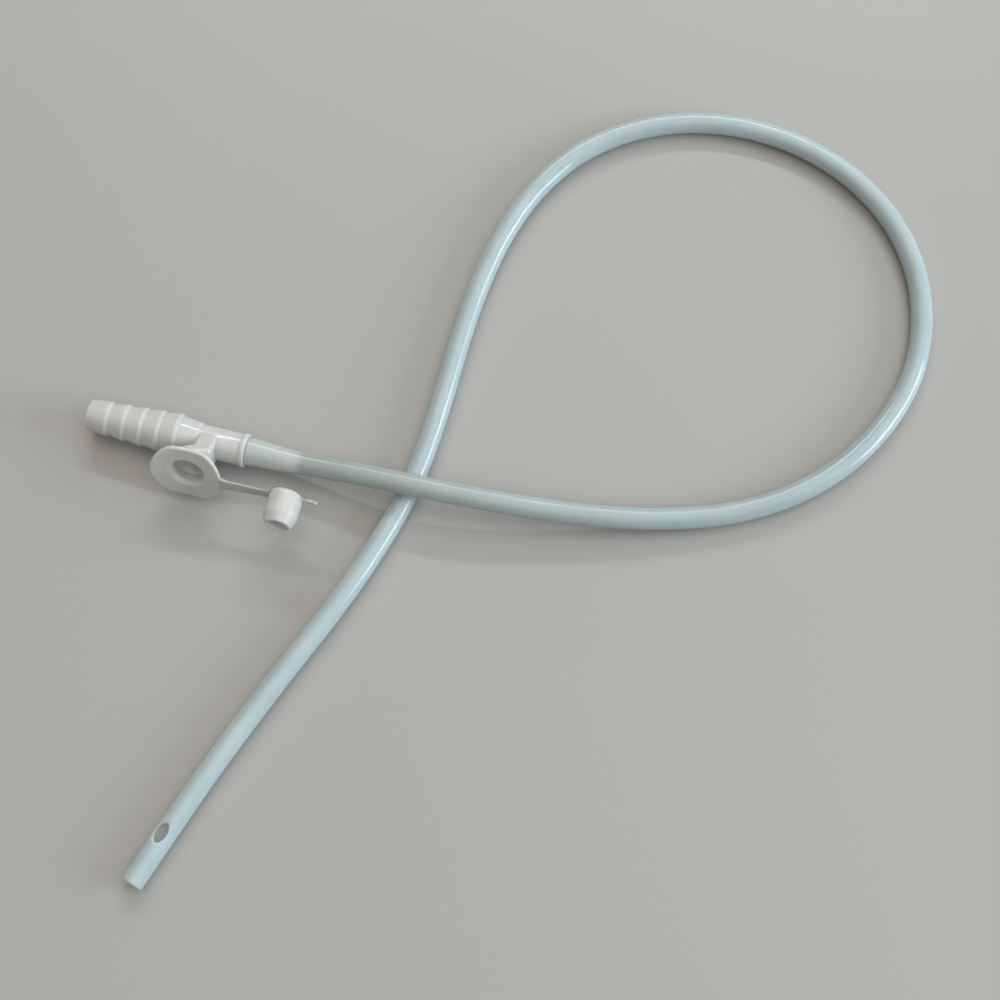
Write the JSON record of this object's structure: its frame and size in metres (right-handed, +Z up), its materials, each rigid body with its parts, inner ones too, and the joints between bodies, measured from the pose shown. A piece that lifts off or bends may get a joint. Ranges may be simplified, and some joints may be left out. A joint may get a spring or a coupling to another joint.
{
  "type": "suction catheter",
  "caption": "Flexible suction tube with side eyes, looped once, on a barbed connector with a thumb plate vent and a tethered plug that closes it.",
  "frame": {"origin": "on the table, under the middle of the box round the connector, strap and plug", "axes": "+X along the connector's passage, from its hose end towards the tube; +Z up from the table; the thumb plate leans out over -Y"},
  "size_m": [0.1954, 0.2233, 0.017],
  "materials": {
    "white_plastic": "smooth white moulded plastic",
    "strap_plastic": "thin, slightly see-through white plastic",
    "soft_white_plastic": "smooth white moulded plastic",
    "pale_blue_tube": "pale blue-green, slightly see-through, softly glossy tube"
  },
  "bodies": {
    "connector": {"connector_body": "white_plastic", "tether_strap": "strap_plastic", "catheter_tube": "pale_blue_tube"},
    "plug": {"vent_plug": "soft_white_plastic"}
  },
  "joints": [
    {"name": "plug_fold", "type": "hinge", "parent": "connector", "child": "plug", "pos_m": [0.01011, -0.00643, 0.01126], "axis": [0, -0.2756, -0.9613], "range_deg": [0, 179.5], "deforming": ["tether_strap"]}
  ]
}
